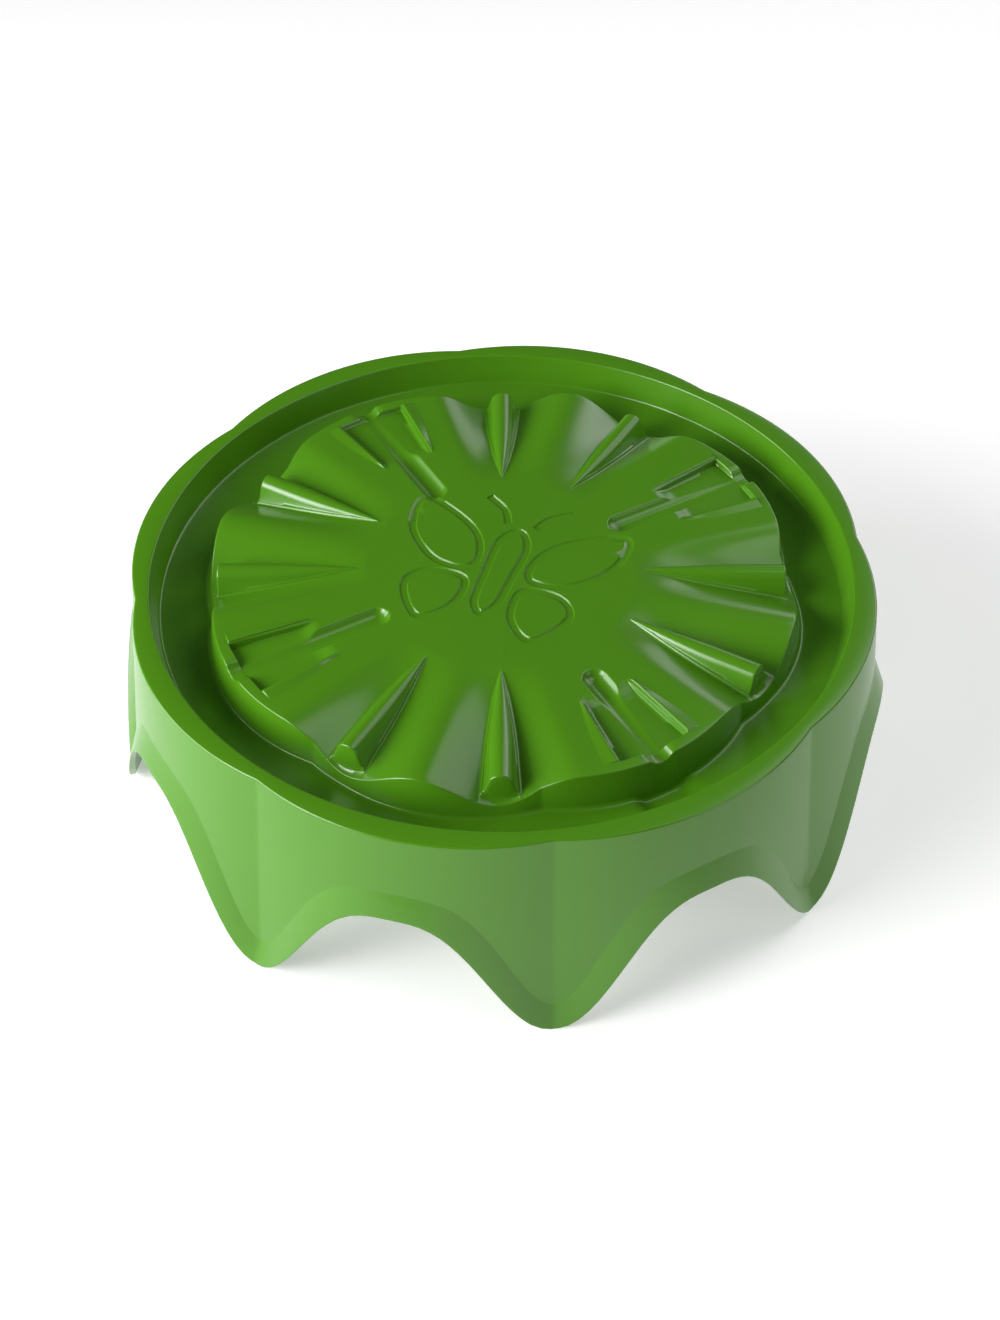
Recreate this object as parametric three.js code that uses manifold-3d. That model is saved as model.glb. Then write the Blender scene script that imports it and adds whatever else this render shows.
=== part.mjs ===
// Pheromone insect trap: a low scalloped hood that stands on eight feet and hangs a catch dish,
// a sticky liner and a lure holder under its hub. Millimetres, +Z up, origin on the ground
// below the hood's centre.
import * as THREE from "three";
import { mergeVertices } from "three/addons/utils/BufferGeometryUtils.js";
import Module from "manifold-3d";

const wasm = await Module();
wasm.setup();

// ---- driving dimensions -------------------------------------------------------------------
const RIM_RADIUS = 80;                  // inner edge of the flat rim
const HEIGHT = 54.5;                    // ground to the rim's flat top
const WALL = 1.5;                       // moulded wall thickness
const GAP = 0.3;                        // clearance between touching pieces
const LOBES = 8;                        // scallops, one foot at each cusp between two of them
const FIRST_CUSP = -82.5;               // degrees, the foot nearest the front
const LOBE_ANGLE = 360 / LOBES;

// radii given as [at the middle of a lobe, at the cusp between two lobes]
const RIM_EDGE = [85.4, 83.1];          // outer edge of the rim
const SKIRT_FOOT = [90.2, 87.9];        // the skirt's face, carried down to the ground
const HUB_TOP = [67.8, 65.4];           // edge of the raised hub
const HUB_FOOT = [69.1, 66.2];          // where the hub's wall meets the gutter

const ARCH_DROP = 21.2;                 // rim to the top of an arch
const ARCH_FULLNESS = 1.5;              // over 1 narrows the feet and widens the arches
const BRIM_WIDTH = 6.6;                 // band along the arches that turns outwards
const BRIM_FLARE = 2.2;

const HUB_LEVEL = -0.5;                 // the hub's flat, below the rim
const GUTTER_OUTER = { radius: 78.4, z: -7.2 };
const GUTTER_INNER_Z = -9.6;

const RIB_ANGLES = [0, 60, 90, 150, 180, 240, 270, 330];
const VALLEY_HALF_ANGLE = 15;           // each rib stands in a valley this wide to each side
const VALLEY_START = 31;
const VALLEY_DEPTH = 6.3;
const RIB_END = 65;
const RIB_TOP_RADIUS = 2.7;
const RIB_DRAFT = 0.32;                 // half-width gained per millimetre of height

const CLIP_ANGLES = [30, 120, 210, 300]; // a groove between two pockets, on the hub's flat
const GROOVE = { starts: [32, 32, 32, 41], radius: 3.1, axis: 0.6 };
const POCKET = { start: 45.5, end: 65, inner: 2.6, outerStart: 5.6, outerEnd: 8.2, depth: 1.2 };
const FIN_WIDTH = 3.2;

const PIN_RADIUS = 3;                   // hanger pins, on the clip angles
const PIN_CIRCLE = 47;
const SOCKET = { radius: 5, bottom: 38, top: 52.8, boreTop: 49.5 };
const COLLAR = { inner: 15, outer: 16.6, bottom: 45, top: 53 };
const STEPS = 96;                       // columns round the hood

// ---- shared shapes ------------------------------------------------------------------------
const radians = THREE.MathUtils.degToRad;

// polar radius of a ring of convex arcs that meet in inward cusps
function lobed([mid, cusp], degrees) {
  const half = radians(LOBE_ANGLE / 2);
  const turns = (degrees - FIRST_CUSP) / LOBE_ANGLE;
  const fromMid = radians((turns - Math.floor(turns) - 0.5) * LOBE_ANGLE);
  const x = cusp * Math.cos(half);
  const y = cusp * Math.sin(half);
  const centre = (mid * mid - x * x - y * y) / (2 * (mid - x));
  const radius = mid - centre;
  return centre * Math.cos(fromMid) + Math.sqrt(radius ** 2 - (centre * Math.sin(fromMid)) ** 2);
}

// 0 at the middle of an arch, 1 at the tip of a foot
function archWave(degrees) {
  const turns = (degrees - FIRST_CUSP) / LOBE_ANGLE;
  const fromMid = Math.abs(turns - Math.floor(turns) - 0.5) * 2;
  return ((1 - Math.cos(Math.PI * fromMid)) / 2) ** ARCH_FULLNESS;
}

function edgeZ(degrees) {
  return -ARCH_DROP - (HEIGHT - ARCH_DROP) * archWave(degrees);
}

function skirtRadius(degrees, z) {
  const share = -z / HEIGHT;
  const mid = THREE.MathUtils.lerp(RIM_EDGE[0], SKIRT_FOOT[0], share);
  const cusp = THREE.MathUtils.lerp(RIM_EDGE[1], SKIRT_FOOT[1], share);
  return lobed([mid, cusp], degrees);
}

// the band's height is its width measured square to the sloping edge
function brimZ(degrees) {
  const step = 1;
  const run = 2 * radians(step) * SKIRT_FOOT[0];
  const slope = (edgeZ(degrees + step) - edgeZ(degrees - step)) / run;
  const z = edgeZ(degrees) + BRIM_WIDTH * Math.hypot(1, slope);
  return Math.min(z, -ARCH_DROP + BRIM_WIDTH);
}

function hubZ(radius, degrees) {
  let valley = 0;
  for (const rib of RIB_ANGLES) {
    const away = Math.abs(THREE.MathUtils.euclideanModulo(degrees - rib + 180, 360) - 180);
    if (away < VALLEY_HALF_ANGLE) valley = (1 + Math.cos((Math.PI * away) / VALLEY_HALF_ANGLE)) / 2;
  }
  const out = Math.max(0, (radius - VALLEY_START) / (HUB_TOP[1] - VALLEY_START));
  return HUB_LEVEL - VALLEY_DEPTH * valley * out ** 1.2;
}

// a closed body from one profile per column; every profile starts and ends on the axis
function sweptBody(profileAt) {
  const columns = [];
  for (let i = 0; i < STEPS; i++) columns.push(profileAt(FIRST_CUSP + (i * 360) / STEPS));
  const rows = columns[0].length - 2;
  const positions = [0, 0, columns[0][0][1], 0, 0, columns[0][rows + 1][1]];
  columns.forEach((column, i) => {
    const angle = radians(FIRST_CUSP + (i * 360) / STEPS);
    for (const [r, z] of column.slice(1, -1)) positions.push(r * Math.cos(angle), r * Math.sin(angle), z);
  });
  const index = [];
  for (let i = 0; i < STEPS; i++) {
    const here = 2 + i * rows;
    const next = 2 + ((i + 1) % STEPS) * rows;
    index.push(0, here, next);
    for (let j = 0; j < rows - 1; j++) {
      index.push(here + j, here + j + 1, next + j);
      index.push(here + j + 1, next + j + 1, next + j);
    }
    index.push(here + rows - 1, 1, next + rows - 1);
  }
  const geometry = new THREE.BufferGeometry();
  geometry.setAttribute("position", new THREE.Float32BufferAttribute(positions, 3));
  geometry.setIndex(index);
  return geometry;
}

function solidOf(geometry) {
  const bare = geometry.clone();
  bare.deleteAttribute("normal");
  bare.deleteAttribute("uv");
  const merged = mergeVertices(bare, 1e-5);
  const vertProperties = new Float32Array(merged.attributes.position.array);
  const triVerts = new Uint32Array(merged.index.array);
  return new wasm.Manifold(new wasm.Mesh({ numProp: 3, vertProperties, triVerts }));
}

function meshOf(solid, name, material) {
  const { vertProperties, triVerts } = solid.getMesh();
  const geometry = new THREE.BufferGeometry();
  geometry.setAttribute("position", new THREE.BufferAttribute(vertProperties, 3));
  geometry.setIndex(new THREE.BufferAttribute(triVerts, 1));
  geometry.computeVertexNormals();
  const mesh = new THREE.Mesh(geometry, material);
  mesh.name = name;
  return mesh;
}

// a turned shape from [radius, z] points that start and end on the axis or close on themselves
function turned(points, segments = 40) {
  const lathe = new THREE.LatheGeometry(points.map(([r, z]) => new THREE.Vector2(r, z)), segments);
  return solidOf(lathe.rotateX(Math.PI / 2));
}

function disc(radius, bottom, top, segments = 40) {
  return turned([[0, bottom], [radius, bottom], [radius, top], [0, top]], segments);
}

function tube(inner, outer, bottom, top, segments = 40) {
  const ring = [[inner, bottom], [outer, bottom], [outer, top], [inner, top], [inner, bottom]];
  return turned(ring, segments);
}

function prism(points, bottom, top) {
  const shape = new THREE.Shape(points.map(([x, y]) => new THREE.Vector2(x, y)));
  const geometry = new THREE.ExtrudeGeometry(shape, { depth: top - bottom, bevelEnabled: false });
  return solidOf(geometry.translate(0, 0, bottom));
}

// a slice of pie, for bayonet lugs and slots
function wedge(radius, middle, halfAngle, bottom, top) {
  const points = [[0, 0]];
  for (let i = 0; i <= 6; i++) {
    const angle = radians(middle + halfAngle * (i / 3 - 1));
    points.push([radius * Math.cos(angle), radius * Math.sin(angle)]);
  }
  return prism(points, bottom, top);
}

const turnedBy = (solid, degrees) => solid.rotate([0, 0, degrees]);
const joined = (solids) => solids.reduce((sum, solid) => sum.add(solid));

// ---- hood ---------------------------------------------------------------------------------
function hoodProfile(degrees) {
  const edge = edgeZ(degrees);
  const brim = brimZ(degrees);
  const hubTop = lobed(HUB_TOP, degrees);
  const hubFoot = lobed(HUB_FOOT, degrees);
  const rim = lobed(RIM_EDGE, degrees);
  const tip = skirtRadius(degrees, edge) + BRIM_FLARE;
  const hubRadii = [16, 32, 44, 56];
  const skirtShares = [0.5, 1];
  const outside = [
    [0, HUB_LEVEL],
    ...hubRadii.map((r) => [r, hubZ(r, degrees)]),
    [hubTop, hubZ(hubTop, degrees)],
    [hubFoot, GUTTER_INNER_Z],
    [GUTTER_OUTER.radius, GUTTER_OUTER.z],
    [RIM_RADIUS, 0],
    [rim, 0],
    ...skirtShares.map((share) => [skirtRadius(degrees, brim * share), brim * share]),
    [tip, edge],
  ];
  const inside = [
    [tip - WALL, edge],
    ...skirtShares.slice().reverse()
      .map((share) => [skirtRadius(degrees, brim * share) - WALL, brim * share]),
    [rim - WALL, -WALL],
    [RIM_RADIUS + WALL / 2 + 0.4, -WALL],
    [GUTTER_OUTER.radius + WALL, GUTTER_OUTER.z - WALL],
    [hubFoot - WALL / 2, GUTTER_INNER_Z - WALL],
    [hubTop - WALL, hubZ(hubTop - WALL, degrees) - WALL],
    ...hubRadii.slice().reverse().map((r) => [r, hubZ(r, degrees) - WALL]),
    [0, HUB_LEVEL - WALL],
  ];
  return [...outside, ...inside].map(([r, z]) => [r, HEIGHT + z]);
}

// a level round-topped bar whose underside follows its valley
function rib() {
  const stations = [VALLEY_START, 43, 54, RIB_END];
  const arcSteps = 6;
  const sectionAt = (r) => {
    const floor = hubZ(r, RIB_ANGLES[0]) - 0.8;
    const base = RIB_TOP_RADIUS + RIB_DRAFT * (-floor - RIB_TOP_RADIUS);
    const points = [];
    for (let i = 0; i <= arcSteps; i++) {
      const angle = (Math.PI * i) / arcSteps;
      const z = Math.max(RIB_TOP_RADIUS * (Math.sin(angle) - 1), floor + 0.3);
      points.push([RIB_TOP_RADIUS * Math.cos(angle), z]);
    }
    const foot = Math.max(base, RIB_TOP_RADIUS);
    return [[foot, floor], ...points, [-foot, floor]];
  };
  const positions = [];
  for (const r of stations) for (const [y, z] of sectionAt(r)) positions.push(r, y, HEIGHT + z);
  const count = arcSteps + 3;
  const index = [];
  for (let s = 0; s < stations.length - 1; s++) {
    for (let j = 0; j < count; j++) {
      const a = s * count + j;
      const b = s * count + ((j + 1) % count);
      index.push(a, b, a + count, b, b + count, a + count);
    }
  }
  const last = (stations.length - 1) * count;
  for (let j = 1; j < count - 1; j++) {
    index.push(0, j + 1, j);
    index.push(last, last + j, last + j + 1);
  }
  const geometry = new THREE.BufferGeometry();
  geometry.setAttribute("position", new THREE.Float32BufferAttribute(positions, 3));
  geometry.setIndex(index);
  return solidOf(geometry);
}

// a lying rod with a round inner end, as cut by the groove or left standing under it
function grooveRod(radius, start, end) {
  const length = end - start;
  const rod = new THREE.CylinderGeometry(radius, radius, length, 20);
  rod.rotateZ(Math.PI / 2);
  rod.translate(start + length / 2, 0, HEIGHT + GROOVE.axis);
  const nose = new THREE.SphereGeometry(radius, 20, 10);
  nose.translate(start, 0, HEIGHT + GROOVE.axis);
  return solidOf(rod).add(solidOf(nose));
}

function pocketOutline(side, margin) {
  const corners = [
    [POCKET.start - margin, side * (POCKET.inner - margin)],
    [POCKET.end + margin / 2, side * (POCKET.inner - margin)],
    [POCKET.end + margin / 2, side * (POCKET.outerEnd + margin)],
    [POCKET.start - margin, side * (POCKET.outerStart + margin)],
  ];
  return side > 0 ? corners : corners.reverse();
}

// a thin wedge beside the pocket, level with the ribs along its inner edge
function fin(side) {
  const inner = [[POCKET.start, POCKET.outerStart + 0.4], [POCKET.end - 0.5, POCKET.outerEnd + 0.4]];
  const outer = [[55, POCKET.outerStart + 3.6], [POCKET.end - 0.5, POCKET.outerEnd + FIN_WIDTH]];
  const base = HEIGHT + HUB_LEVEL - 0.6;
  const positions = [];
  const add = (x, y, z) => positions.push(x, side * y, z);
  add(...inner[0], base);
  add(...inner[1], base);
  add(...outer[1], base);
  add(...outer[0], base);
  add(...inner[0], HEIGHT);
  add(...inner[1], HEIGHT);
  add(...outer[1], HEIGHT + HUB_LEVEL);
  add(...outer[0], HEIGHT + HUB_LEVEL);
  const faces = [0, 2, 1, 0, 3, 2, 4, 5, 6, 4, 6, 7, 0, 1, 5, 0, 5, 4, 1, 2, 6, 1, 6, 5,
    2, 3, 7, 2, 7, 6, 3, 0, 4, 3, 4, 7];
  const geometry = new THREE.BufferGeometry();
  geometry.setAttribute("position", new THREE.Float32BufferAttribute(positions, 3));
  geometry.setIndex(side > 0 ? faces : faces.reverse());
  return solidOf(geometry);
}

function hood() {
  const flat = HEIGHT + HUB_LEVEL;
  const added = [];
  const cut = [];
  for (const angle of RIB_ANGLES) added.push(turnedBy(rib(), angle));
  const hubEnd = HUB_TOP[0] - 1.2;
  const under = prism([[20, -8], [hubEnd, -8], [hubEnd, 8], [20, 8]], flat - 6, flat - 0.4);
  CLIP_ANGLES.forEach((angle, i) => {
    const start = GROOVE.starts[i];
    const backing = grooveRod(GROOVE.radius + WALL, start, hubEnd).intersect(under);
    added.push(turnedBy(backing, angle));
    cut.push(turnedBy(grooveRod(GROOVE.radius, start, 72), angle));
    for (const side of [1, -1]) {
      const pad = prism(pocketOutline(side, WALL), flat - POCKET.depth - WALL, flat - 0.4);
      added.push(turnedBy(pad, angle));
      added.push(turnedBy(fin(side), angle));
      cut.push(turnedBy(prism(pocketOutline(side, 0), flat - POCKET.depth, flat + 2), angle));
    }
    const socket = disc(SOCKET.radius, SOCKET.bottom, SOCKET.top, 24).translate([PIN_CIRCLE, 0, 0]);
    const bore = disc(PIN_RADIUS + GAP, SOCKET.bottom - 1, SOCKET.boreTop, 24)
      .translate([PIN_CIRCLE, 0, 0]);
    added.push(turnedBy(socket, angle));
    cut.push(turnedBy(bore, angle));
  });
  added.push(tube(COLLAR.inner, COLLAR.outer, COLLAR.bottom, COLLAR.top));
  const tabRing = tube(COLLAR.inner - 1.6, COLLAR.inner + 0.5, COLLAR.bottom, COLLAR.bottom + 1.4);
  for (const middle of [90, 270]) {
    const sector = wedge(20, middle, 32, COLLAR.bottom - 1, COLLAR.bottom + 3);
    added.push(tabRing.intersect(sector));
  }
  const shell = joined([solidOf(sweptBody(hoodProfile)), ...added]);
  return shell.subtract(joined(cut));
}

// ---- lure holder: a slotted cup that twists into the hood's collar ------------------------
const HOLDER = { radius: 11.6, wall: 1.4, bottom: 24, top: 51.6, slots: 6 };
const LUG = { radius: 14.6, bottom: COLLAR.bottom + 1.4 + GAP, top: COLLAR.bottom + 3.4 };

function lureHolder() {
  const inner = HOLDER.radius - HOLDER.wall;
  const cup = turned([
    [inner, HOLDER.bottom], [HOLDER.radius, HOLDER.bottom], [HOLDER.radius, HOLDER.top],
    [0, HOLDER.top], [0, HOLDER.top - HOLDER.wall], [inner, HOLDER.top - HOLDER.wall],
    [inner, HOLDER.bottom],
  ], 36);
  const lugs = [90, 270].map((middle) =>
    wedge(LUG.radius, middle, 26, LUG.bottom, LUG.top).subtract(disc(inner + 0.4, 0, HEIGHT)));
  const slots = [];
  for (let i = 0; i < HOLDER.slots; i++) {
    const slot = prism([[4, -2.5], [20, -2.5], [20, 2.5], [4, 2.5]], HOLDER.bottom + 5, 43);
    slots.push(turnedBy(slot, (i * 360) / HOLDER.slots));
  }
  return joined([cup, ...lugs]).subtract(joined(slots));
}

// ---- lure holder's cap, pressed in from below, with a cup for the dispenser --------------
const CAP = { bottom: 22.2, flange: 13.2, spigot: HOLDER.radius - HOLDER.wall - GAP, seat: 7 };
const CAP_TOP = HOLDER.bottom - GAP;

function lureCap() {
  return turned([
    [0, CAP.bottom], [CAP.flange, CAP.bottom], [CAP.flange, CAP_TOP], [CAP.spigot, CAP_TOP],
    [CAP.spigot, CAP_TOP + 4], [CAP.spigot - 1.2, CAP_TOP + 4], [CAP.spigot - 1.2, CAP_TOP],
    [CAP.seat, CAP_TOP], [CAP.seat, CAP_TOP + 3], [CAP.seat - 1.2, CAP_TOP + 3],
    [CAP.seat - 1.2, CAP_TOP], [0, CAP_TOP],
  ], 36);
}

// ---- pheromone dispenser: a bell-shaped rubber stopper with a sleeve ----------------------
const DISPENSER = { bottom: CAP_TOP + GAP, length: 19, plug: 5, sleeve: 5.4, bore: 1.9 };

function dispenser() {
  const { bottom, length, plug, sleeve, bore } = DISPENSER;
  return turned([
    [0, bottom], [plug, bottom], [plug - 0.6, bottom + length * 0.55],
    [sleeve, bottom + length * 0.62], [sleeve, bottom + length], [bore, bottom + length],
    [bore, bottom + length * 0.5], [0, bottom + length * 0.5],
  ], 28);
}

// ---- catch dish with four ears, and the pins that hang it ---------------------------------
const DISH = { bottom: 1, floor: 40, rim: 43, top: 13, wall: 1.3 };
const EAR = { radius: 5.4, bottom: 8, top: 11 };

function catchDish() {
  const bowl = turned([
    [0, DISH.bottom], [DISH.floor, DISH.bottom], [DISH.rim, DISH.top],
    [DISH.rim - DISH.wall, DISH.top], [DISH.floor - DISH.wall, DISH.bottom + DISH.wall],
    [0, DISH.bottom + DISH.wall],
  ], 64);
  const ears = [];
  const holes = [];
  for (const angle of CLIP_ANGLES) {
    const web = prism([[41.4, -4], [PIN_CIRCLE, -5], [PIN_CIRCLE, 5], [41.4, 4]], EAR.bottom, EAR.top);
    const eye = disc(EAR.radius, EAR.bottom, EAR.top, 24).translate([PIN_CIRCLE, 0, 0]);
    const ear = web.add(eye).subtract(disc(41.2, EAR.bottom - 1, EAR.top + 1, 64));
    const hole = disc(PIN_RADIUS + GAP, EAR.bottom - 1, EAR.top + 1, 24).translate([PIN_CIRCLE, 0, 0]);
    ears.push(turnedBy(ear, angle));
    holes.push(turnedBy(hole, angle));
  }
  return joined([bowl, ...ears]).subtract(joined(holes));
}

const PIN = { head: 4.6, headBottom: 5.2, headTop: EAR.bottom - GAP, top: 46 };

function hangerPin(angle) {
  const pin = turned([
    [0, PIN.headBottom], [PIN.head, PIN.headBottom], [PIN.head, PIN.headTop],
    [PIN_RADIUS, PIN.headTop], [PIN_RADIUS, PIN.top - 1.5], [PIN_RADIUS - 1, PIN.top], [0, PIN.top],
  ], 24);
  return turnedBy(pin.translate([PIN_CIRCLE, 0, 0]), angle);
}

// ---- sticky liner: a coated card that lies in the dish ------------------------------------
const LINER = { radius: DISH.floor - DISH.wall - 0.7, thickness: 0.8 };

function stickyLiner() {
  const bottom = DISH.bottom + DISH.wall + GAP;
  return disc(LINER.radius, bottom, bottom + LINER.thickness, 48);
}

// ---- assembly -----------------------------------------------------------------------------
const plastic = (color, roughness) => new THREE.MeshStandardMaterial({ color, roughness, metalness: 0 });
const green = plastic("#4c8a16", 0.35);
const white = plastic("#e9ebe4", 0.4);
const rubber = plastic("#8d3b2c", 0.7);
const card = plastic("#efe6c4", 0.3);

const trap = new THREE.Group();
trap.add(meshOf(hood(), "hood", green));
trap.add(meshOf(lureHolder(), "lure_holder", white));
trap.add(meshOf(lureCap(), "lure_holder_cap", white));
trap.add(meshOf(dispenser(), "pheromone_dispenser", rubber));
trap.add(meshOf(catchDish(), "catch_dish", white));
trap.add(meshOf(stickyLiner(), "sticky_liner", card));
CLIP_ANGLES.forEach((angle, i) => trap.add(meshOf(hangerPin(angle), `hanger_pin_${i + 1}`, green)));

export default trap;
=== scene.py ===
"""A pheromone insect trap: a leaf-green hood on eight feet over a catch dish and a lure holder."""
import math

import bmesh
import bpy
import numpy as np
from mathutils import Matrix, Vector


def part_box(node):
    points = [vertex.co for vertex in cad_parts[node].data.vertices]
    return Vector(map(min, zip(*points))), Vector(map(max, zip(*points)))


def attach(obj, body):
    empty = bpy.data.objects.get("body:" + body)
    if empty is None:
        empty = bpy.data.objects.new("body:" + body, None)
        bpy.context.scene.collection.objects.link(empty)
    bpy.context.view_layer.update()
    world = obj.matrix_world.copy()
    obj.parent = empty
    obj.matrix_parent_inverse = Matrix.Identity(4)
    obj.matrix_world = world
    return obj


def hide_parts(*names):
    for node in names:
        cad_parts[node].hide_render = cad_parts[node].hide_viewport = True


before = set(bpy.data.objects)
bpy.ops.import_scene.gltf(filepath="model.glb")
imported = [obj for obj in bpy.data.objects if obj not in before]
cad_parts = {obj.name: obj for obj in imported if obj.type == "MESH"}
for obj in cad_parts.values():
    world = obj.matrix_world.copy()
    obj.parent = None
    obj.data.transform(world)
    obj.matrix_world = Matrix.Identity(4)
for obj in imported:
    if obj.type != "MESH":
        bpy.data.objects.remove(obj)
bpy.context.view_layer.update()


# ---- Hood: the shell ------------------------------------------------------------------------
# The trap's roof and legs in one moulding of leaf-green polypropylene, 1.5 mm thick. From the middle
# out it has a hub with eight ribs, a rain gutter, a flat rim and a scalloped skirt on eight feet.
# It is injection moulded, so every edge has a small round and every wall some draft.
MM = 0.001
HOOD_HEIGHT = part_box("hood")[1].z / MM
WALL = 1.5

RIM_RADIUS = 80.0
LOBE_ANGLE = 45.0
FIRST_CUSP = -82.5
RIM_EDGE = (85.4, 83.1)        # each pair: at the middle of a lobe, at the cusp between two
SKIRT_FOOT = (90.2, 87.9)
HUB_TOP = (67.8, 65.4)
HUB_FOOT = (69.1, 66.2)
GUTTER_FLOOR = -9.6            # every height in the hood is measured from the rim's flat top
GUTTER_OUTER = (78.4, -7.2)    # radius and height where the gutter turns up to the rim

ARCH_DROP = 21.2
ARCH_FULLNESS = 1.5
BRIM_WIDTH = 5.7
BRIM_FLARE = 2.2


def lobed(pair, degrees):
    """Radius of a ring of convex arcs that meet in inward cusps."""
    mid, cusp = pair
    half = math.radians(LOBE_ANGLE / 2)
    from_mid = np.radians(np.mod(degrees - FIRST_CUSP, LOBE_ANGLE) - LOBE_ANGLE / 2)
    x = cusp * math.cos(half)
    y = cusp * math.sin(half)
    centre = (mid**2 - x**2 - y**2) / (2 * (mid - x))
    radius = mid - centre
    return centre * np.cos(from_mid) + np.sqrt(radius**2 - (centre * np.sin(from_mid)) ** 2)


def edge_height(degrees):
    """Height of the skirt's lower edge: arches between eight feet."""
    turns = np.mod(degrees - FIRST_CUSP, LOBE_ANGLE) / LOBE_ANGLE
    from_mid = np.abs(turns - 0.5) * 2
    wave = ((1 - np.cos(math.pi * from_mid)) / 2) ** ARCH_FULLNESS
    return -ARCH_DROP - (HOOD_HEIGHT - ARCH_DROP) * wave


def skirt_radius(degrees, height):
    share = -height / HOOD_HEIGHT
    mid = RIM_EDGE[0] + (SKIRT_FOOT[0] - RIM_EDGE[0]) * share
    cusp = RIM_EDGE[1] + (SKIRT_FOOT[1] - RIM_EDGE[1]) * share
    return lobed((mid, cusp), degrees)


def brim_height(degrees):
    """The brim's upper line: its width is measured square to the sloping edge."""
    run = 2 * math.radians(1) * SKIRT_FOOT[0]
    slope = (edge_height(degrees + 1) - edge_height(degrees - 1)) / run
    height = edge_height(degrees) + BRIM_WIDTH * np.hypot(1, slope)
    return np.minimum(height, -ARCH_DROP + BRIM_WIDTH)


# the hub's relief, one sector of 30 degrees round each rib or clip groove
HUB_LEVEL = -0.5
SECTOR = 30.0
CLIP_SECTORS = (1, 4, 7, 10)
HUB_FLAT = 28.0                # nothing but the engraving lies inside this radius
VALLEY_START = 31.0
VALLEY_DEPTH = 6.3
VALLEY_CURVE = 1.2             # over 1 deepens a valley slowly at first
FEATURE_END = 65.0
RIB_RADIUS = 2.7
RIB_DRAFT = 0.32
RIB_POINT = 32.5               # where a rib rises out of the flat
RIB_TAPER = 24.0               # length over which it widens to its full round
FOOT_FILLET = 0.7
END_ROUND = 0.5                # at the top of a rib's end face
END_DRAFT = 0.06
GROOVE_RADIUS = 3.3
GROOVE_AXIS = 1.1              # height of the axis that a groove is round
GROOVE_EDGE = 0.3              # fillet along a groove's edge
GROOVE_STARTS = {1: 32.0, 4: 32.0, 7: 32.0, 10: 41.0}
POCKET_START = 45.5
POCKET_RAMP = (-1.0, 4.0)      # a pocket's floor comes down between these distances from its start
POCKET_DEPTH = (1.1, 1.6)      # these pairs: at a pocket's inner end, at its outer end
POCKET_EDGE = (5.6, 8.3)
FIN_FACE = (6.5, 8.6)
FIN_WIDTH = 3.1
FIN_START = 0.6                # half the length of the slope at a fin's inner end
WALL_HALF = 0.12               # half the plan width of a pocket's or fin's steep side


def smooth_step(x, low, high):
    t = np.clip((x - low) / (high - low), 0, 1)
    return t * t * (3 - 2 * t)


def smooth_max(a, b, size):
    """The larger of two heights, with a fillet where they meet."""
    return np.maximum(a, b) + np.maximum(size - np.abs(a - b), 0) ** 2 / (4 * size)


def smooth_min(a, b, size):
    return -smooth_max(-a, -b, size)


def along(pair, r):
    """A value that runs from a pocket's inner end to its outer end."""
    share = np.clip((r - POCKET_START) / (FEATURE_END - POCKET_START), 0, 1)
    return pair[0] + (pair[1] - pair[0]) * share


def fin_foot(r):
    """Distance from the groove's middle to where a fin's outer slope runs out."""
    share = np.clip((r - POCKET_START) / (FEATURE_END - POCKET_START), 0, 1)
    return along(FIN_FACE, r) + FIN_WIDTH * np.sin(share * math.pi / 2) + 0.05


def valley_floor(r, away):
    """Height of the valley that a rib stands in; away is the angle from the rib."""
    out = np.clip((r - VALLEY_START) / (HUB_TOP[1] - VALLEY_START), 0, None)
    wave = (1 + np.cos(np.clip(away / (SECTOR / 2), -1, 1) * math.pi)) / 2
    return HUB_LEVEL - VALLEY_DEPTH * wave * out**VALLEY_CURVE


def end_drop(r, end):
    """How far a feature has fallen past its end: a rounded corner, then a steep face."""
    into = np.clip((r - end + END_ROUND) / END_ROUND, 0, 1)
    return END_ROUND * (1 - np.sqrt(1 - into**2)) + np.maximum(r - end, 0) / END_DRAFT


def rib_growth(r):
    """A rib's share of its full size: it grows fast from its point and then ever slower."""
    return np.sin(np.clip((r - RIB_POINT) / RIB_TAPER, 0, 1) * math.pi / 2)


def rib_round(r):
    """Radius of a rib's rounded crest."""
    return RIB_RADIUS * np.maximum(rib_growth(r), 0.04)


def rib_crest(r):
    """Height of a rib's crest: it comes up out of the flat and is soon level with the rim."""
    buried = np.maximum(RIB_POINT + 1 - r, 0) / 2
    return HUB_LEVEL * (1 - rib_growth(r)) - buried


def rib_foot(r):
    """Half the width of a rib where it meets the valley."""
    radius = rib_round(r)
    depth = np.maximum(rib_crest(r) - valley_floor(r, 0), 0.02)
    tangent = radius / math.hypot(1, RIB_DRAFT)
    tangent_depth = radius - np.sqrt(radius**2 - tangent**2)
    crown = np.sqrt(np.maximum(radius**2 - (radius - np.minimum(depth, radius)) ** 2, 0))
    return np.where(depth < tangent_depth, crown, tangent + RIB_DRAFT * (depth - tangent_depth))


def rib_height(r, v):
    """Height of a rib's round crest and sloping flanks; v is the distance from its middle."""
    side = np.abs(v)
    radius = rib_round(r)
    tangent = radius / math.hypot(1, RIB_DRAFT)
    top = -radius + np.sqrt(np.maximum(radius**2 - side**2, 0))
    tangent_height = -radius + np.sqrt(radius**2 - tangent**2)
    flank = tangent_height - (side - tangent) / RIB_DRAFT
    return np.where(side < tangent, top, flank) + rib_crest(r) - end_drop(r, FEATURE_END)


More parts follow.
